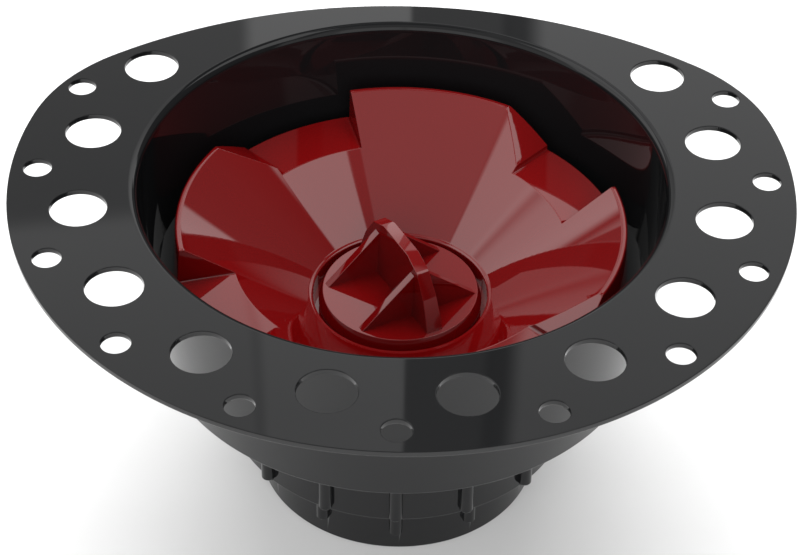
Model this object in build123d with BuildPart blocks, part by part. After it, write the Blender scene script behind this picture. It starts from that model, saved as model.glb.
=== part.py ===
"""Bathtub floor drain with its test insert fitted.

A black moulded drain body (floor flange, deep bowl, stepped tail with a pipe
socket), a red funnel-shaped test insert standing on the ledge inside the bowl,
a red quarter-turn knob that closes the insert's neck, and the rubber seals.

Millimetres.  Z is the drain's axis, +Z up.  The origin is the centre of the
tail's open end, where the waste pipe goes in.  The flange is cut flatter at
the back, which is +Y.
"""
from build123d import *
import math
import os

os.makedirs("parts", exist_ok=True)

# ---------------------------------------------------------------- driving sizes
H = 89.3                 # flange's top face above the tail's end

# flange
FLANGE_T = 1.4
FLANGE_R = 91.1          # front and sides
BACK_R = 120.0           # flatter back arc
BACK_CY = -49.5          # its centre
BACK_BLEND = 44.0        # blend between the two arcs
BIG_PCR = 75.0           # circle of the large holes
BIG_R = 6.55
SMALL_PCR = 84.8         # circle of the screw holes
SMALL_R = 3.3
PITCH = 22.5             # both patterns step by this angle

# bowl
LIP_R = 63.4             # rounded lip's outer edge
WALL_TOP_R = 61.5
WALL_TOP_Z = H - 2.3
WALL_LOW_R = 59.1
LEDGE_Z = H - 29.2       # the insert stands here
LEDGE_IN_R = 51.0
SKIRT_Z = H - 45.0       # lowest edge of the bowl's outer wall
SKIRT_R = 59.6

# tail
CHAMBER_R = 39.3
CHAMBER_Z = H - 66.3     # gasket's seat
NECK_R = 26.2            # clear way into the pipe
TIER_R = 43.1
TIER_Z = H - 70.9
TAIL_R = 35.1
SOCKET_R = 30.25         # takes a 60.3 mm pipe
SOCKET_L = 20.0

# round ribs down the tail
RIB_R = 1.65
OUTER_RIBS = 16
OUTER_RIB_PCR = 43.8
OUTER_RIB_Z = H - 69.0
INNER_RIBS = 12
INNER_RIB_PCR = 35.7
INNER_RIB_Z = H - 82.4

# gasket and retainer
GASKET_T = 10.3
GASKET_IN_R = 19.3
RETAINER_T = 6.0
RETAINER_IN_R = 22.5

# test insert
RIM_R = 53.3
RIM_IN_R = 51.8
RIM_Z = H - 13.0
HUB_R = 22.3             # the cone ends at the knob's recess
HUB_Z = H - 35.76
SKIRT_LOW_R = 54.6
INSERT_T = 2.3
NOTCH_Z = H - 22.0       # flat step in each notch
NOTCH_A = 15.0           # first notch: upright wall here
RAMP_A0 = 47.5           # ramp starts here, one small step above the flat
RAMP_A1 = 60.0           # and reaches the rim here
RAMP_Z = H - 20.6
RECESS_R = 21.15         # a rounded shoulder leads down to it
RECESS_Z = H - 40.0
INSERT_NECK_R = 19.05    # same as a 1 1/2 in tailpiece
INSERT_BORE_R = 15.08
INSERT_END_Z = H - 66.0

# knob
DISC_R = 18.8
DISC_LOW_R = 19.8        # the disc's side flares
DISC_Z = H - 34.9
DISC_T = 3.8
STEM_R = 15.0
STEM_IN_R = 12.4
STEM_END_Z = H - 56.0
FIN_A = 118.6            # the fin's direction
FIN_TOP_T = 3.1
FIN_BASE_T = 4.2
FIN = [(17.6, 0.0), (17.0, 2.6), (14.85, 7.9), (11.2, 13.4), (6.0, 15.6)]
GUSSET_AT = 9.0
GUSSET_T = 1.9
GUSSET_REACH = 15.4
GUSSET_H = 12.4
SEAL_T = RECESS_Z - (DISC_Z - DISC_T)


def cone_z(r):
    """Height of the insert's inner cone at radius r."""
    return RIM_Z - (RIM_IN_R - r) * (RIM_Z - HUB_Z) / (RIM_IN_R - HUB_R)


# the blend arc touches the front and the back arc from inside
blend_y = ((BACK_R - BACK_BLEND) ** 2 - (FLANGE_R - BACK_BLEND) ** 2 - BACK_CY**2) / (-2 * BACK_CY)
blend_x = math.sqrt((FLANGE_R - BACK_BLEND) ** 2 - blend_y**2)
front_end = (
    blend_x * FLANGE_R / (FLANGE_R - BACK_BLEND),
    blend_y * FLANGE_R / (FLANGE_R - BACK_BLEND),
)
back_end = (
    blend_x * BACK_R / (BACK_R - BACK_BLEND),
    BACK_CY + (blend_y - BACK_CY) * BACK_R / (BACK_R - BACK_BLEND),
)
blend_a = (
    math.atan2(front_end[1] - blend_y, front_end[0] - blend_x)
    + math.atan2(back_end[1] - blend_y, back_end[0] - blend_x)
) / 2
blend_mid = (
    blend_x + BACK_BLEND * math.cos(blend_a),
    blend_y + BACK_BLEND * math.sin(blend_a),
)

# ---------------------------------------------------------------- drain body
with BuildPart() as drain_body:
    # bowl, ledge, gasket chamber, tail and socket in one turned section
    with BuildSketch(Plane.XZ):
        with BuildLine():
            Line((WALL_TOP_R, WALL_TOP_Z), (WALL_LOW_R, LEDGE_Z))
            Polyline(
                (WALL_LOW_R, LEDGE_Z),
                (LEDGE_IN_R, LEDGE_Z),
                (LEDGE_IN_R, LEDGE_Z - 1.8),
                (CHAMBER_R, H - 41.6),
                (CHAMBER_R, CHAMBER_Z),
                (NECK_R, CHAMBER_Z),
                (NECK_R, SOCKET_L),
                (SOCKET_R, SOCKET_L),
                (SOCKET_R, 0),
                (TAIL_R - 0.6, 0),
                (TAIL_R, 0.6),
                (TAIL_R, TIER_Z),
                (TIER_R - 0.5, TIER_Z),
                (TIER_R, TIER_Z + 0.5),
                (TIER_R, H - 43.2),
                (54.2, H - 33.4),
                (57.6, H - 33.4),
                (56.8, SKIRT_Z),
                (SKIRT_R - 0.5, SKIRT_Z),
                (SKIRT_R, SKIRT_Z + 0.5),
                (64.4, H - 3.2),
                (66.2, H - FLANGE_T),
                (66.2, H),
                (LIP_R, H),
            )
            # rolled lip
            ThreePointArc(
                (LIP_R, H),
                (LIP_R - 1.35, H - 0.65),
                (WALL_TOP_R, WALL_TOP_Z),
            )
        make_face()
    revolve(axis=Axis.Z)

    # flange: round at the front, flatter at the back
    with BuildSketch(Plane.XY.offset(H - FLANGE_T)) as flange_outline:
        with BuildLine():
            ThreePointArc(back_end, (0, BACK_CY + BACK_R), (-back_end[0], back_end[1]))
            ThreePointArc((-back_end[0], back_end[1]), (-blend_mid[0], blend_mid[1]), (-front_end[0], front_end[1]))
            ThreePointArc((-front_end[0], front_end[1]), (0, -FLANGE_R), front_end)
            ThreePointArc(front_end, blend_mid, back_end)
        make_face()
        Circle(LIP_R + 1.0, mode=Mode.SUBTRACT)
        # large bonding holes
        for k in range(6):
            for a in (-90 + PITCH * (k + 0.5), -90 - PITCH * (k + 0.5)):
                with PolarLocations(BIG_PCR, 1, start_angle=a):
                    Circle(BIG_R, mode=Mode.SUBTRACT)
        # screw holes
        for k in range(-5, 6):
            with PolarLocations(SMALL_PCR, 1, start_angle=-90 + PITCH * k):
                Circle(SMALL_R, mode=Mode.SUBTRACT)
    extrude(amount=FLANGE_T)

    # round ribs down the two steps of the tail
    with BuildSketch(Plane.XY.offset(OUTER_RIB_Z)):
        with PolarLocations(OUTER_RIB_PCR, OUTER_RIBS, start_angle=-90):
            Circle(RIB_R)
    extrude(amount=H - 41.0 - OUTER_RIB_Z)
    with BuildSketch(Plane.XY.offset(INNER_RIB_Z)):
        with PolarLocations(INNER_RIB_PCR, INNER_RIBS, start_angle=-90):
            Circle(RIB_R)
    extrude(amount=TIER_Z + 0.5 - INNER_RIB_Z)

drain_body.part.label = "drain_body"
export_step(drain_body.part, "parts/drain_body.step")

# ---------------------------------------------------------------- tailpiece gasket
with BuildPart() as tailpiece_gasket:
    with BuildSketch(Plane.XZ):
        with BuildLine():
            Polyline(
                (CHAMBER_R - 0.1, CHAMBER_Z),
                (CHAMBER_R - 0.1, CHAMBER_Z + GASKET_T),
                (27.0, CHAMBER_Z + GASKET_T),
                (22.0, CHAMBER_Z + GASKET_T - 3.0),
                (GASKET_IN_R + 0.4, CHAMBER_Z + GASKET_T - 3.6),
                (GASKET_IN_R, CHAMBER_Z + GASKET_T - 4.2),
                (GASKET_IN_R, CHAMBER_Z + 2.6),
                (GASKET_IN_R + 1.6, CHAMBER_Z + 1.0),
                (NECK_R - 1.0, CHAMBER_Z + 1.0),
                (NECK_R, CHAMBER_Z),
                close=True,
            )
        make_face()
    revolve(axis=Axis.Z)

tailpiece_gasket.part.label = "tailpiece_gasket"
export_step(tailpiece_gasket.part, "parts/tailpiece_gasket.step")

# ---------------------------------------------------------------- gasket retainer
with BuildPart() as gasket_retainer:
    with BuildSketch(Plane.XY.offset(CHAMBER_Z + GASKET_T)):
        Circle(CHAMBER_R - 0.05)
        Circle(RETAINER_IN_R + 4.5, mode=Mode.SUBTRACT)
    extrude(amount=RETAINER_T)
    with BuildSketch(Plane.XY.offset(CHAMBER_Z + GASKET_T + RETAINER_T - 2.5)):
        Circle(CHAMBER_R - 2.0)
        Circle(RETAINER_IN_R, mode=Mode.SUBTRACT)
    extrude(amount=2.5)
    # spanner slots
    with BuildSketch(Plane.XY.offset(CHAMBER_Z + GASKET_T + RETAINER_T)):
        with PolarLocations(RETAINER_IN_R + 1.0, 4, start_angle=45):
            Rectangle(9.0, 6.0)
    extrude(amount=-2.5, mode=Mode.SUBTRACT)

gasket_retainer.part.label = "gasket_retainer"
export_step(gasket_retainer.part, "parts/gasket_retainer.step")


# ---------------------------------------------------------------- test insert
def polar(r, a, z):
    return Vector(r * math.cos(math.radians(a)), r * math.sin(math.radians(a)), z)


def notch_cutter(drop, widen):
    """Space above one notch's flat and ramp.

    drop lowers the floor and widen moves both ends out, so the same shape,
    grown, tells where the wall under the notch must stay.
    """
    wall = math.degrees(widen / 48.0)
    a0, a1 = NOTCH_A - wall, RAMP_A1 + wall
    # ramp's plane: rim at its upper end, a small step above the flat at its foot
    pa = polar(RIM_R, RAMP_A1, RIM_Z - drop)
    pb = polar(RIM_R, RAMP_A0, RAMP_Z - drop)
    pc = polar(41.8, RAMP_A0, cone_z(41.8) - drop)
    normal = (pb - pa).cross(pc - pa)
    if normal.Z < 0:
        normal = normal * -1
    with BuildPart(mode=Mode.PRIVATE) as below_ramp:
        with BuildSketch(Plane.XZ.rotated((0, 0, RAMP_A0))):
            with Locations(((30 + 62) / 2, H - 20)):
                Rectangle(62 - 30, 60)
        revolve(axis=Axis.Z, revolution_arc=a1 + 2 - RAMP_A0)
        split(bisect_by=Plane(origin=pa, z_dir=normal), keep=Keep.BOTTOM)
    with BuildPart(mode=Mode.PRIVATE) as cutter:
        with BuildSketch(Plane.XZ.rotated((0, 0, a0))):
            with Locations(((36 + 60) / 2, (NOTCH_Z - drop + H) / 2)):
                Rectangle(60 - 36, H - NOTCH_Z + drop)
        revolve(axis=Axis.Z, revolution_arc=a1 - a0)
        add(below_ramp.part, mode=Mode.SUBTRACT)
    return cutter.part


with BuildPart() as under_shell:
    # hollow under the cone, left solid around each notch
    with BuildSketch(Plane.XZ):
        with BuildLine():
            Polyline(
                (SKIRT_LOW_R - 2.2, LEDGE_Z - 5),
                (SKIRT_LOW_R - 2.2, LEDGE_Z),
                (RIM_R - 1.9, RIM_Z - 2.6),
                (RIM_R - 2.6, cone_z(RIM_R - 2.6) - 2.9),
                (HUB_R + 2.6, cone_z(HUB_R + 2.6) - 2.9),
                (HUB_R + 2.6, LEDGE_Z - 40),
                (SKIRT_LOW_R + 10, LEDGE_Z - 40),
                (SKIRT_LOW_R + 10, LEDGE_Z - 5),
                close=True,
            )
        make_face()
    revolve(axis=Axis.Z)
    keeper = notch_cutter(INSERT_T, 2.2)
    for k in range(4):
        add(keeper.rotate(Axis.Z, 90 * k), mode=Mode.SUBTRACT)

with BuildPart() as test_insert:
    with BuildSketch(Plane.XZ):
        with BuildLine():
            Polyline(
                (HUB_R, HUB_Z),
                (RIM_IN_R, RIM_Z - 0.2),
                (RIM_IN_R + 0.25, RIM_Z),
                (RIM_R - 0.3, RIM_Z),
                (RIM_R, RIM_Z - 0.3),
                (54.0, NOTCH_Z),
                (SKIRT_LOW_R, LEDGE_Z),
                (SKIRT_LOW_R - 2.2, LEDGE_Z),
                (HUB_R + 2.6, RECESS_Z - INSERT_T),
                (INSERT_NECK_R, RECESS_Z - INSERT_T),
                (INSERT_NECK_R, INSERT_END_Z + 0.8),
                (INSERT_NECK_R - 0.8, INSERT_END_Z),
                (INSERT_BORE_R, INSERT_END_Z),
                (INSERT_BORE_R, RECESS_Z),
                (RECESS_R, RECESS_Z),
                (RECESS_R, HUB_Z - 0.42),
            )
            ThreePointArc(
                (RECESS_R, HUB_Z - 0.42),
                (HUB_R - 0.6, HUB_Z - 0.133),
                (HUB_R, HUB_Z),
            )
        make_face()
    revolve(axis=Axis.Z)
    cutter = notch_cutter(0, 0)
    for k in range(4):
        add(cutter.rotate(Axis.Z, 90 * k), mode=Mode.SUBTRACT)
    add(under_shell.part, mode=Mode.SUBTRACT)

test_insert.part.label = "test_insert"
export_step(test_insert.part, "parts/test_insert.step")

# ---------------------------------------------------------------- knob
FIN_PLANE = Plane(origin=(0, 0, DISC_Z), x_dir=polar(1, FIN_A, 0), z_dir=polar(1, FIN_A - 90, 0))
with BuildPart() as plug_knob:
    with BuildSketch(Plane.XZ):
        with BuildLine():
            Polyline(
                (0, DISC_Z),
                (DISC_R - 0.15, DISC_Z),
                (DISC_R, DISC_Z - 0.15),
                (DISC_LOW_R, DISC_Z - 2.8),
                (DISC_LOW_R, DISC_Z - DISC_T + 0.3),
                (DISC_LOW_R - 0.3, DISC_Z - DISC_T),
                (STEM_R, DISC_Z - DISC_T),
                (STEM_R, STEM_END_Z + 0.6),
                (STEM_R - 0.6, STEM_END_Z),
                (STEM_IN_R, STEM_END_Z),
                (STEM_IN_R, DISC_Z - 6.2),
                (0, DISC_Z - 6.2),
                close=True,
            )
        make_face()
    revolve(axis=Axis.Z)
    # arched fin, a little thicker at its foot
    with BuildSketch(FIN_PLANE.offset(-FIN_BASE_T / 2)):
        Polygon(
            *[(x, z) for x, z in FIN],
            *[(-x, z) for x, z in reversed(FIN)],
            (-17.6, -1.0),
            (17.6, -1.0),
            align=None,
        )
    extrude(amount=FIN_BASE_T)
    for side in (1, -1):
        face_plane = Plane(
            origin=(0, 0, DISC_Z) + polar(1, FIN_A - 90, 0) * (side * FIN_BASE_T / 2),
            x_dir=polar(1, FIN_A, 0),
            z_dir=polar(1, FIN_A - 90, 0) * (side * 16.0)
            + Vector(0, 0, 1) * ((FIN_BASE_T - FIN_TOP_T) / 2),
        )
        up = 1 if face_plane.y_dir.Z > 0 else -1
        with BuildSketch(face_plane):
            with Locations((0, 10.1 * up)):
                Rectangle(60, 20.2)
        extrude(amount=4, mode=Mode.SUBTRACT)
    # two cross gussets with sloping tops
    for at in (GUSSET_AT, -GUSSET_AT):
        gusset_plane = Plane(
            origin=(0, 0, DISC_Z) + polar(1, FIN_A, 0) * at,
            x_dir=polar(1, FIN_A - 90, 0),
            z_dir=polar(1, FIN_A, 0),
        )
        up = 1 if gusset_plane.y_dir.Z > 0 else -1
        with BuildSketch(gusset_plane.offset(-GUSSET_T / 2)):
            Polygon(
                (GUSSET_REACH + 0.57, -0.5 * up),
                (1.2, GUSSET_H * up),
                (-1.2, GUSSET_H * up),
                (-GUSSET_REACH - 0.57, -0.5 * up),
                align=None,
            )
        extrude(amount=GUSSET_T)

plug_knob.part.label = "plug_knob"
export_step(plug_knob.part, "parts/plug_knob.step")

# ---------------------------------------------------------------- knob seal
with BuildPart() as knob_seal:
    with BuildSketch(Plane.XY.offset(RECESS_Z)):
        Circle(DISC_R - 0.5)
        Circle(STEM_R + 0.05, mode=Mode.SUBTRACT)
    extrude(amount=DISC_Z - DISC_T - RECESS_Z)

knob_seal.part.label = "knob_seal"
export_step(knob_seal.part, "parts/knob_seal.step")
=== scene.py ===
"""Looks of the bathtub drain: gloss black body, gloss red test insert and knob.

Metres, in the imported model's frame: Z up along the drain's axis, origin at the
centre of the tail's open end, flange top at z = 0.0893.
"""

import math

import bmesh
import bpy
from mathutils import Matrix, Vector

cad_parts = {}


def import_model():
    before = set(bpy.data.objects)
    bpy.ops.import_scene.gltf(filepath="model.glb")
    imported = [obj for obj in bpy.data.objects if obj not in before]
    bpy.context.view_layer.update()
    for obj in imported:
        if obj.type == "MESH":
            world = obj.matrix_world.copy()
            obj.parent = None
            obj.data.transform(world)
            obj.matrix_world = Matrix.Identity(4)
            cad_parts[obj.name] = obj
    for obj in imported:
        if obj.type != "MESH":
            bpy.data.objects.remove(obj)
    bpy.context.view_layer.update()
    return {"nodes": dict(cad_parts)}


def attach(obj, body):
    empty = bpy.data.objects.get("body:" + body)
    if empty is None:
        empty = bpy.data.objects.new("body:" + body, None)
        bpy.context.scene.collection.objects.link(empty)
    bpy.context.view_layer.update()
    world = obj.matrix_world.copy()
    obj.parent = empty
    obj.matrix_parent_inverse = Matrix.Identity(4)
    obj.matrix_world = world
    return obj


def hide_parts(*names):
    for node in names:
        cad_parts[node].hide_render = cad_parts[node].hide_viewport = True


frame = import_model()
H = 0.0893


# ------------------------------------------------------------------ camera
def camera():
    el, az, roll = math.radians(40.483), math.radians(0.094), math.radians(1.049)
    f, dist, unit = 2225.2, 6.8949, 0.075
    u0, v0, px, py = 402.19, 174.49, 401.5, 277.5
    ca, sa, ce, se = math.cos(az), math.sin(az), math.cos(el), math.sin(el)
    right = Vector((ca, sa, 0.0))
    fwd = Vector((-sa * ce, ca * ce, -se))
    up = right.cross(fwd)
    r = math.cos(roll) * right + math.sin(roll) * up
    u = -math.sin(roll) * right + math.cos(roll) * up
    pos = -(dist * (((u0 - px) / f) * r - ((v0 - py) / f) * u + fwd)) * unit
    pos = pos + Vector((0.0, 0.0, H))
    cam = bpy.data.cameras.new("camera")
    cam.sensor_fit = "HORIZONTAL"
    cam.sensor_width = 36.0
    cam.lens = f / 803.0 * 36.0
    cam.clip_start = 0.02
    cam.clip_end = 20.0
    cam.dof.use_dof = False
    ob = bpy.data.objects.new("camera", cam)
    bpy.context.scene.collection.objects.link(ob)
    m = Matrix((r, u, -fwd)).transposed().to_4x4()
    m.translation = pos
    ob.matrix_world = m
    bpy.context.scene.camera = ob


camera()


# ------------------------------------------------------------------ materials
def material(name):
    m = bpy.data.materials.new(name)
    m.use_nodes = True
    nt = m.node_tree
    b = nt.nodes["Principled BSDF"]
    return m, nt, b


def noise(nt, scale, detail=3.0, rough=0.5):
    tc = nt.nodes.new("ShaderNodeTexCoord")
    n = nt.nodes.new("ShaderNodeTexNoise")
    n.inputs["Scale"].default_value = scale
    n.inputs["Detail"].default_value = detail
    n.inputs["Roughness"].default_value = rough
    nt.links.new(tc.outputs["Object"], n.inputs["Vector"])
    return n


def ramp(nt, src, lo, hi, c0, c1):
    r = nt.nodes.new("ShaderNodeValToRGB")
    r.color_ramp.elements[0].position = lo
    r.color_ramp.elements[1].position = hi
    r.color_ramp.elements[0].color = c0
    r.color_ramp.elements[1].color = c1
    nt.links.new(src, r.inputs["Fac"])
    return r


def map_range(nt, src, lo, hi, a, b):
    n = nt.nodes.new("ShaderNodeMapRange")
    n.inputs["From Min"].default_value = lo
    n.inputs["From Max"].default_value = hi
    n.inputs["To Min"].default_value = a
    n.inputs["To Max"].default_value = b
    nt.links.new(src, n.inputs["Value"])
    return n


def bump(nt, bsdf, height, strength, distance):
    bn = nt.nodes.new("ShaderNodeBump")
    bn.inputs["Strength"].default_value = strength
    bn.inputs["Distance"].default_value = distance
    nt.links.new(height, bn.inputs["Height"])
    nt.links.new(bn.outputs["Normal"], bsdf.inputs["Normal"])


def gloss_black():
    m, nt, b = material("gloss_black")
    n = noise(nt, 9.0, 4.0)
    r = ramp(nt, n.outputs["Fac"], 0.3, 0.7, (0.0036, 0.0037, 0.0040, 1), (0.0048, 0.0050, 0.0054, 1))
    nt.links.new(r.outputs["Color"], b.inputs["Base Color"])
    n2 = noise(nt, 26.0, 4.0)
    mr = map_range(nt, n2.outputs["Fac"], 0.3, 0.7, 0.018, 0.034)
    nt.links.new(mr.outputs["Result"], b.inputs["Roughness"])
    b.inputs["IOR"].default_value = 1.5
    b.inputs["Specular IOR Level"].default_value = 0.42
    n3 = noise(nt, 14.0, 2.0)
    bump(nt, b, n3.outputs["Fac"], 0.04, 0.0004)
    return m


def gloss_red():
    m, nt, b = material("gloss_red")
    n = noise(nt, 11.0, 4.0)
    r = ramp(nt, n.outputs["Fac"], 0.3, 0.7, (0.088, 0.0009, 0.0011, 1), (0.103, 0.0012, 0.0015, 1))
    nt.links.new(r.outputs["Color"], b.inputs["Base Color"])
    n2 = noise(nt, 30.0, 4.0)
    mr = map_range(nt, n2.outputs["Fac"], 0.3, 0.7, 0.022, 0.045)
    nt.links.new(mr.outputs["Result"], b.inputs["Roughness"])
    b.inputs["IOR"].default_value = 1.5
    b.inputs["Specular IOR Level"].default_value = 0.95
    n3 = noise(nt, 16.0, 2.0)
    bump(nt, b, n3.outputs["Fac"], 0.05, 0.0003)
    return m


def rubber():
    m, nt, b = material("seal_rubber")
    n = noise(nt, 60.0, 5.0)
    r = ramp(nt, n.outputs["Fac"], 0.3, 0.7, (0.014, 0.014, 0.015, 1), (0.024, 0.024, 0.025, 1))
    nt.links.new(r.outputs["Color"], b.inputs["Base Color"])
    mr = map_range(nt, n.outputs["Fac"], 0.3, 0.7, 0.48, 0.66)
    nt.links.new(mr.outputs["Result"], b.inputs["Roughness"])
    n3 = noise(nt, 900.0, 2.0)
    bump(nt, b, n3.outputs["Fac"], 0.25, 0.00008)
    return m


BLACK, RED, RUBBER = gloss_black(), gloss_red(), rubber()


def give(ob, mat):
    ob.data.materials.clear()
    ob.data.materials.append(mat)


for name, ob in frame["nodes"].items():
    if name in ("test_insert", "plug_knob"):
        give(ob, RED)
    elif name in ("tailpiece_gasket", "knob_seal"):
        give(ob, RUBBER)
    else:
        give(ob, BLACK)


# ------------------------------------------------------------------ shapes
# The three pieces that show are made again with finely divided rounds and small
# rounded edges, to the same sizes as the CAD nodes that they stand for.
# Millimetres here, metres in the mesh.
MM = 0.001
HH = 89.3


def cs(r, a):
    return r * math.cos(math.radians(a)), r * math.sin(math.radians(a))


def link(name, bm):
    bmesh.ops.recalc_face_normals(bm, faces=bm.faces)
    me = bpy.data.meshes.new(name)
    bm.to_mesh(me)
    bm.free()
    ob = bpy.data.objects.new(name, me)
    bpy.context.scene.collection.objects.link(ob)
    return ob


def turned(name, section, n=288, closed=True):
    """A section of (r, z) points turned round Z; an open one is capped flat at both ends."""
    bm = bmesh.new()
    rings = []
    for r, z in section:
        ring = []
        for k in range(n):
            x, y = cs(r, 360.0 * k / n)
            ring.append(bm.verts.new((x * MM, y * MM, z * MM)))
        rings.append(ring)
    pairs = list(zip(rings, rings[1:]))
    if closed:
        pairs.append((rings[-1], rings[0]))
    else:
        bm.faces.new(rings[0])
        bm.faces.new(rings[-1])
    for a, b in pairs:
        for k in range(n):
            m = (k + 1) % n
            bm.faces.new((a[k], a[m], b[m], b[k]))
    return link(name, bm)


def prisms(name, outlines):
    """Upright closed prisms, each an outline of (x, y), a lower and an upper z."""
    bm = bmesh.new()
    for pts, z0, z1 in outlines:
        lo = [bm.verts.new((x * MM, y * MM, z0 * MM)) for x, y in pts]
        hi = [bm.verts.new((x * MM, y * MM, z1 * MM)) for x, y in pts]
        bm.faces.new(lo)
        bm.faces.new(hi)
        for k in range(len(pts)):
            m = (k + 1) % len(pts)
            bm.faces.new((lo[k], lo[m], hi[m], hi[k]))
    return link(name, bm)


def loops(name, slices):
    """A closed solid through like-sided loops of (x, y, z), capped at both ends."""
    bm = bmesh.new()
    rows = [[bm.verts.new((x * MM, y * MM, z * MM)) for x, y, z in sl] for sl in slices]
    bm.faces.new(rows[0])
    bm.faces.new(rows[-1])
    for a, b in zip(rows, rows[1:]):
        for k in range(len(a)):
            m = (k + 1) % len(a)
            bm.faces.new((a[k], a[m], b[m], b[k]))
    return link(name, bm)


def settle(ob):
    deps = bpy.context.evaluated_depsgraph_get()
    me = bpy.data.meshes.new_from_object(ob.evaluated_get(deps), preserve_all_data_layers=True, depsgraph=deps)
    old = ob.data
    ob.modifiers.clear()
    ob.data = me
    me.name = ob.name
    bpy.data.meshes.remove(old)


def combine(ob, other, op):
    m = ob.modifiers.new("combine", "BOOLEAN")
    m.solver = "EXACT"
    m.operation = op
    m.object = other
    settle(ob)
    bpy.data.objects.remove(other)


def tidy(ob, dist):
    """Merges what lies within dist of each other."""
    bm = bmesh.new()
    bm.from_mesh(ob.data)
    bmesh.ops.remove_doubles(bm, verts=bm.verts, dist=dist * MM)
    bmesh.ops.dissolve_degenerate(bm, dist=dist * MM, edges=bm.edges)
    bmesh.ops.recalc_face_normals(bm, faces=bm.faces)
    vol = bm.calc_volume(signed=True) / MM**3
    bad = sum(1 for e in bm.edges if not e.is_manifold)
    bm.to_mesh(ob.data)
    bm.free()
    print("shape", ob.name, "faces", len(ob.data.polygons), "volume mm3", round(vol), "open edges", bad)


def sectors(ob, levels, start, step):
    """Each flat level becomes one face in each sector between lines through the axis."""
    bm = bmesh.new()
    bm.from_mesh(ob.data)
    for z in levels:
        for k in range(round(180 / step)):
            x, y = cs(1.0, start + step * k + 90)
            faces = [f for f in bm.faces if all(abs(v.co.z - z * MM) < 2e-6 for v in f.verts)]
            parts = faces + list({e for f in faces for e in f.edges}) + list({v for f in faces for v in f.verts})
            bmesh.ops.bisect_plane(bm, geom=parts, dist=2e-6, plane_co=(0, 0, 0), plane_no=(x, y, 0))
        groups = {}
        for f in bm.faces:
            if all(abs(v.co.z - z * MM) < 2e-6 for v in f.verts):
                c = f.calc_center_median()
                groups.setdefault(int((math.degrees(math.atan2(c.y, c.x)) - start) % 360 // step), []).append(f)
        for faces in groups.values():
            if len(faces) > 1:
                bmesh.ops.dissolve_faces(bm, faces=faces, use_verts=False)
    bm.to_mesh(ob.data)
    bm.free()


def soften(ob, width, segments=2, angle=30.0, join=0.002):
    """Smooth shading, with a small round on each outward corner and a crisp inward one."""
    bm = bmesh.new()
    bm.from_mesh(ob.data)
    spare = [v for v in bm.verts if len(v.link_edges) == 2 and v.calc_edge_angle(1.0) < 1e-3]
    bmesh.ops.dissolve_verts(bm, verts=spare)
    weight = bm.edges.layers.float.new("bevel_weight_edge")
    for f in bm.faces:
        f.smooth = True
    for e in bm.edges:
        turn = e.calc_face_angle_signed(0.0)
        if turn > math.radians(angle):
            e[weight] = 1.0
        elif turn < -math.radians(angle):
            e.smooth = False
    bm.to_mesh(ob.data)
    bm.free()
    m = ob.modifiers.new("edges", "BEVEL")
    m.limit_method = "WEIGHT"
    m.width = width * MM
    m.segments = segments
    m.use_clamp_overlap = False
    m.miter_outer = "MITER_SHARP"
    j = ob.modifiers.new("joins", "WELD")
    j.mode = "CONNECTED"
    j.merge_threshold = join * MM
    w = ob.modifiers.new("normals", "WEIGHTED_NORMAL")
    w.mode = "FACE_AREA"
    w.weight = 100
    w.keep_sharp = True
    settle(ob)


def arc(cx, cy, r, a0, a1, step=1.25):
    n = max(2, int(math.ceil(abs(a1 - a0) / step)))
    return [
        (cx + cs(r, a0 + (a1 - a0) * k / n)[0], cy + cs(r, a0 + (a1 - a0) * k / n)[1]) for k in range(n + 1)
    ]


def through(p, q, r, n):
    """Points of the arc through three points, ends included."""
    (ax, ay), (bx, by), (cx, cy) = p, q, r
    d = 2 * (ax * (by - cy) + bx * (cy - ay) + cx * (ay - by))
    ux = ((ax**2 + ay**2) * (by - cy) + (bx**2 + by**2) * (cy - ay) + (cx**2 + cy**2) * (ay - by)) / d
    uy = ((ax**2 + ay**2) * (cx - bx) + (bx**2 + by**2) * (ax - cx) + (cx**2 + cy**2) * (bx - ax)) / d
    rad = math.hypot(ax - ux, ay - uy)
    a0, a1 = math.atan2(ay - uy, ax - ux), math.atan2(cy - uy, cx - ux)
    a1 = a0 + (a1 - a0 + math.pi) % (2 * math.pi) - math.pi
    return [(ux + rad * math.cos(a0 + (a1 - a0) * k / n), uy + rad * math.sin(a0 + (a1 - a0) * k / n)) for k in range(n + 1)]


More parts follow.
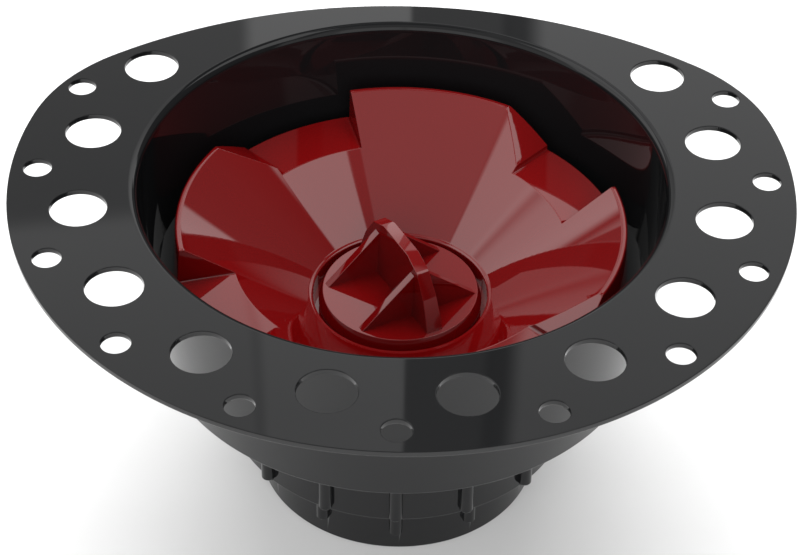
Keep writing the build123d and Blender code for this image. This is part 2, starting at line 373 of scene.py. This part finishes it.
def body_shape():
    h = HH
    # outline of the flange: round at the front, flatter at the back
    fr, br, bcy, bl = 91.1, 120.0, -49.5, 44.0
    by = ((br - bl) ** 2 - (fr - bl) ** 2 - bcy**2) / (-2 * bcy)
    bx = math.sqrt((fr - bl) ** 2 - by**2)
    a_front = math.degrees(math.atan2(by, bx))
    a_back = math.degrees(math.atan2(by - bcy, bx))
    first, last = math.ceil((-180 - a_front) / 1.25 + 0.2), math.floor(a_front / 1.25 - 0.2)
    pts = [cs(fr, -180 - a_front)] + [cs(fr, 1.25 * k) for k in range(first, last + 1)]
    pts += arc(bx, by, bl, a_front, a_back, 1.5)[:-1]
    pts += arc(0, bcy, br, a_back, 180 - a_back, 0.75)[:-1]
    pts += arc(-bx, by, bl, 180 - a_back, 180 - a_front, 1.5)[:-1]
    ob = prisms("drain_body_moulding", [(pts, h - 1.4, h)])
    outside = [
        (66.9, h - 0.7), (66.2, h - 1.4), (64.4, h - 3.2), (59.6, h - 44.5), (59.1, h - 45.0), (56.8, h - 45.0),
        (57.6, h - 33.4), (54.2, h - 33.4), (43.1, h - 43.2), (43.1, h - 70.4), (42.6, h - 70.9),
        (35.1, h - 70.9), (35.1, 0.6), (34.5, 0.0),
    ]
    combine(ob, turned("outside", outside, closed=False), "UNION")
    inside = [(63.4, h + 1.0)] + through((63.4, h), (62.05, h - 0.65), (61.5, h - 2.3), 12)
    inside += [
        (59.1, h - 29.2), (51.0, h - 29.2), (51.0, h - 31.0), (39.3, h - 41.6), (39.3, h - 66.3),
        (26.2, h - 66.3), (26.2, 20.0), (30.25, 20.0), (30.25, -1.0),
    ]
    combine(ob, turned("inside", inside, closed=False), "DIFFERENCE")
    holes = []
    for k in range(6):
        for a in (-90 + 22.5 * (k + 0.5), -90 - 22.5 * (k + 0.5)):
            x, y = cs(75.0, a)
            holes.append((arc(x, y, 6.55, a, a + 360, 4.0)[:-1], h - 5.0, h + 5.0))
    for k in range(-5, 6):
        a = -90 + 22.5 * k
        x, y = cs(84.8, a)
        holes.append((arc(x, y, 3.3, a, a + 360, 6.0)[:-1], h - 5.0, h + 5.0))
    combine(ob, prisms("holes", holes), "DIFFERENCE")
    sectors(ob, (h, h - 1.4), 0.0, 11.25)
    ribs = []
    for k in range(16):
        x, y = cs(43.8, -90 + 22.5 * k)
        ribs.append((arc(x, y, 1.65, 0, 360, 11.25)[:-1], h - 69.0, h - 41.0))
    for k in range(12):
        x, y = cs(35.7, -90 + 30.0 * k)
        ribs.append((arc(x, y, 1.65, 0, 360, 11.25)[:-1], h - 82.4, h - 70.4))
    combine(ob, prisms("ribs", ribs), "UNION")
    tidy(ob, 0.02)
    soften(ob, 0.22, join=0.05)
    return ob


def cone_z(r):
    return HH - 13.0 - (51.8 - r) * 22.3 / 28.9


def notch_space(name, drop, widen):
    """The space above one notch: a flat, a small step, and a ramp up to the rim."""
    wall = math.degrees(widen / 48.0)
    a0, a1 = 15.0 - wall, 60.0 + wall
    h = HH
    pa = Vector((*cs(53.3, 60.0), h - 13.0 - drop))
    pb = Vector((*cs(53.3, 47.5), h - 20.6 - drop))
    pc = Vector((*cs(41.8, 47.5), cone_z(41.8) - drop))
    nrm = (pb - pa).cross(pc - pa)

    def plane(x, y):
        return pa.z - (nrm.x * (x - pa.x) + nrm.y * (y - pa.y)) / nrm.z

    rows = []
    first = [a0 + (47.5 - a0) * k / 26 for k in range(27)]
    second = [47.5 + (a1 - 47.5) * k / 10 for k in range(11)]
    for flat, angles in ((True, first), (False, second)):
        for a in angles:
            (x0, y0), (x1, y1) = cs(36.0, a), cs(60.0, a)
            z0 = h - 22.0 - drop if flat else plane(x0, y0)
            z1 = h - 22.0 - drop if flat else plane(x1, y1)
            rows.append([(x0, y0, z0), (x1, y1, z1), (x1, y1, h + 1.0), (x0, y0, h + 1.0)])
    bm = bmesh.new()
    vs = [[bm.verts.new((x * MM, y * MM, z * MM)) for x, y, z in row] for row in rows]
    cut_row = len(first) - 1
    bmesh.ops.weld_verts(bm, targetmap={vs[cut_row + 1][2]: vs[cut_row][2], vs[cut_row + 1][3]: vs[cut_row][3]})
    vs[cut_row + 1][2], vs[cut_row + 1][3] = vs[cut_row][2], vs[cut_row][3]
    bm.faces.new(vs[0])
    bm.faces.new(vs[-1])
    for j in range(len(vs) - 1):
        a, b = vs[j], vs[j + 1]
        if j == cut_row:
            bm.faces.new((a[0], a[1], b[1], b[0]))
            bm.faces.new((a[1], a[2], b[1]))
            bm.faces.new((a[0], a[3], b[0]))
            continue
        for k in range(4):
            m = (k + 1) % 4
            bm.faces.new((a[k], a[m], b[m], b[k]))
    return link(name, bm)


def four(maker):
    """Four of a shape, a quarter turn apart, in one object."""
    base = maker()
    bm = bmesh.new()
    for k in range(4):
        me = base.data.copy()
        me.transform(Matrix.Rotation(math.radians(90 * k), 4, "Z"))
        bm.from_mesh(me)
        bpy.data.meshes.remove(me)
    bpy.data.objects.remove(base)
    return link("four", bm)


def insert_shape():
    h = HH
    sec = [
        (51.8, h - 13.2), (52.05, h - 13.0), (53.0, h - 13.0), (53.3, h - 13.3),
        (54.0, h - 22.0), (54.6, h - 29.2), (52.4, h - 29.2), (24.9, h - 42.3), (19.05, h - 42.3),
        (19.05, h - 65.2), (18.25, h - 66.0), (15.08, h - 66.0), (15.08, h - 40.0), (21.15, h - 40.0),
    ]
    sec += through((21.15, h - 36.18), (21.7, h - 35.893), (22.3, h - 35.76), 3)
    ob = turned("test_insert_moulding", sec)
    hollow = turned(
        "hollow",
        [
            (52.4, h - 34.2), (52.4, h - 29.2), (51.4, h - 15.6), (50.7, cone_z(50.7) - 2.9),
            (24.9, cone_z(24.9) - 2.9), (24.9, h - 69.2), (64.6, h - 69.2), (64.6, h - 34.2),
        ],
    )
    combine(hollow, four(lambda: notch_space("keeper", 2.3, 2.2)), "DIFFERENCE")
    combine(ob, four(lambda: notch_space("notch", 0.0, 0.0)), "DIFFERENCE")
    combine(ob, hollow, "DIFFERENCE")
    tidy(ob, 0.02)
    soften(ob, 0.2)
    return ob


def knob_shape():
    z0 = HH - 34.9
    ob = turned(
        "plug_knob_moulding",
        [
            (18.8, z0), (19.8, z0 - 2.8), (19.8, z0 - 3.5), (19.5, z0 - 3.8), (15.0, z0 - 3.8),
            (15.0, HH - 55.4), (14.4, HH - 56.0), (12.4, HH - 56.0), (12.4, z0 - 6.2),
        ],
        192,
        False,
    )
    ux, uy = cs(1.0, 118.6)
    vx, vy = cs(1.0, 28.6)
    fin = [(17.6, -1.0), (17.6, 0.0), (17.0, 2.6), (14.85, 7.9), (11.2, 13.4), (6.0, 15.6)]
    fin += [(-x, z) for x, z in reversed(fin)]
    rows = []
    for side in (-1, 1):
        row = []
        for x, z in fin:
            t = side * (2.1 - z * 0.55 / 16.0)
            row.append((ux * x + vx * t, uy * x + vy * t, z0 + z))
        rows.append(row)
    combine(ob, loops("fin", rows), "UNION")
    for at in (9.0, -9.0):
        gus = [(15.97, -0.5), (1.2, 12.4), (-1.2, 12.4), (-15.97, -0.5)]
        rows = [[(ux * x + vx * t, uy * x + vy * t, z0 + z) for t, z in gus] for x in (at - 0.95, at + 0.95)]
        combine(ob, loops("gusset", rows), "UNION")
    sectors(ob, (z0,), 118.6, 180.0)
    tidy(ob, 0.01)
    soften(ob, 0.14)
    return ob


def stand_for(ob, node, body, mat):
    give(ob, mat)
    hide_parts(node)
    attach(ob, body)


stand_for(body_shape(), "drain_body", "drain", BLACK)
stand_for(insert_shape(), "test_insert", "insert", RED)
stand_for(knob_shape(), "plug_knob", "knob", RED)


# ------------------------------------------------------------------ stage
def stage():
    bm = bmesh.new()
    s = 3.0
    vs = [bm.verts.new(p) for p in ((-s, -s, 0), (s, -s, 0), (s, s, 0), (-s, s, 0))]
    bm.faces.new(vs)
    me = bpy.data.meshes.new("floor")
    bm.to_mesh(me)
    bm.free()
    ob = bpy.data.objects.new("floor", me)
    ob.location = (0, 0, -0.0002)
    bpy.context.scene.collection.objects.link(ob)
    m, nt, b = material("floor_pale")
    n = noise(nt, 2.0, 3.0)
    r = ramp(nt, n.outputs["Fac"], 0.3, 0.7, (0.63, 0.63, 0.63, 1), (0.65, 0.65, 0.65, 1))
    nt.links.new(r.outputs["Color"], b.inputs["Base Color"])
    b.inputs["Roughness"].default_value = 0.9
    b.inputs["Specular IOR Level"].default_value = 0.1
    me.materials.append(m)


stage()


# ------------------------------------------------------------------ light
def area(name, loc, target, size, size_y, power, color=(1, 1, 1), spread=180.0):
    li = bpy.data.lights.new(name, "AREA")
    li.shape = "RECTANGLE"
    li.size = size
    li.size_y = size_y
    li.energy = power
    li.color = color
    li.spread = math.radians(spread)
    ob = bpy.data.objects.new(name, li)
    bpy.context.scene.collection.objects.link(ob)
    d = Vector(target) - Vector(loc)
    ob.matrix_world = Matrix.Translation(Vector(loc)) @ d.to_track_quat("-Z", "Y").to_matrix().to_4x4()
    return ob


def world():
    """A studio of soft panels between darker gaps, given by direction. az is measured
    from +Y towards +X and el from the horizon, both in degrees."""
    w = bpy.data.worlds.new("studio")
    bpy.context.scene.world = w
    w.use_nodes = True
    nt = w.node_tree
    bg = nt.nodes["Background"]
    tc = nt.nodes.new("ShaderNodeTexCoord")
    sep = nt.nodes.new("ShaderNodeSeparateXYZ")
    nt.links.new(tc.outputs["Generated"], sep.inputs[0])

    def mth(op, x, y=None, clamp=False):
        n = nt.nodes.new("ShaderNodeMath")
        n.operation = op
        n.use_clamp = clamp
        for i, v in enumerate((x, y)):
            if v is None:
                continue
            if isinstance(v, (int, float)):
                n.inputs[i].default_value = v
            else:
                nt.links.new(v, n.inputs[i])
        return n.outputs[0]

    az = mth("MULTIPLY", mth("ARCTAN2", sep.outputs["X"], sep.outputs["Y"]), 57.29578)
    el = mth("MULTIPLY", mth("ARCSINE", sep.outputs["Z"]), 57.29578)

    def step(v, at, soft):
        n = nt.nodes.new("ShaderNodeMapRange")
        n.interpolation_type = "SMOOTHSTEP"
        nt.links.new(v, n.inputs["Value"])
        n.inputs["From Min"].default_value = at - soft
        n.inputs["From Max"].default_value = at + soft
        return n.outputs["Result"]

    def panel(a0, a1, e0, e1, sa0=1.0, sa1=1.0, se=2.0):
        lo = mth("MULTIPLY", step(az, a0, sa0), mth("SUBTRACT", 1.0, step(az, a1, sa1)))
        hi = mth("MULTIPLY", step(el, e0, se), mth("SUBTRACT", 1.0, step(el, e1, se)))
        return mth("MULTIPLY", lo, hi)

    def over(base, mask, value):
        """base outside the mask, value inside it."""
        return mth("ADD", mth("MULTIPLY", base, mth("SUBTRACT", 1.0, mask)), mth("MULTIPLY", mask, value))

    v = 0.68
    v = over(v, panel(-104, 126, -90, 67, 3, 3, 2.0), 0.13)
    for a0, a1, e0, e1, s0, s1, se, val in PANELS:
        v = over(v, panel(a0, a1, e0, e1, s0, s1, se), val)
    v = over(v, step(el, 76.0, 2.0), 0.25)
    fall = nt.nodes.new("ShaderNodeMapRange")
    nt.links.new(el, fall.inputs["Value"])
    fall.inputs["From Min"].default_value = 34.0
    fall.inputs["From Max"].default_value = 44.0
    fall.inputs["To Min"].default_value = 1.0
    fall.inputs["To Max"].default_value = 0.70
    v = mth("MULTIPLY", v, fall.outputs["Result"])
    # behind the object the studio wall is plain and pale
    seen = nt.nodes.new("ShaderNodeLightPath").outputs["Is Camera Ray"]
    v = over(v, seen, 0.97)
    nt.links.new(v, bg.inputs["Strength"])
    bg.inputs["Color"].default_value = (1.0, 1.0, 1.0, 1)


# az from, to, el from, to, softness of each azimuth edge and of elevation, radiance
PANELS = (
    (-38, -4, 14, 38.6, 2.0, 1.5, 0.35, 0.62),
    (-38, -5, 38.6, 62, 2.0, 0.4, 0.35, 1.27),
    (-5, 0.1, 20, 62, 0.3, 0.12, 1.0, 1.47),
    (0.1, 3.0, 20, 62, 0.12, 0.3, 1.0, 0.42),
    (3.0, 3.9, 20, 62, 0.3, 0.3, 1.0, 0.27),
    (3.9, 37, 20, 50, 0.4, 2.0, 1.0, 1.24),
    (31, 40, 9, 20.5, 1.0, 1.0, 1.0, 1.24),
    (-104, -41, 15, 40, 1.5, 2.0, 6.0, 1.38),
    (-104, -41, 40, 66, 1.5, 2.0, 2.0, 2.1),
    (56, 126, 44.5, 74, 2.0, 1.5, 0.7, 2.15),
    (126, 139, 30, 72, 1.5, 2.0, 3.0, 0.30),
    (-180, -140, -5, 40, 3.0, 4.0, 3.0, 1.1),
    (152, 180, -5, 40, 3.0, 4.0, 3.0, 1.1),
)

world()
for name, loc, size, power in (("overhead", (0.0, 0.6, 1.25), 1.5, 37.0), ("front", (0.0, -1.3, 0.75), 1.2, 24.0)):
    soft = area(name, loc, (0, 0, 0.04), size, size, power)
    soft.visible_glossy = False
bpy.context.scene.view_settings.view_transform = "Standard"

# ------------------------------------------------------------------ view layer update
bpy.context.view_layer.update()
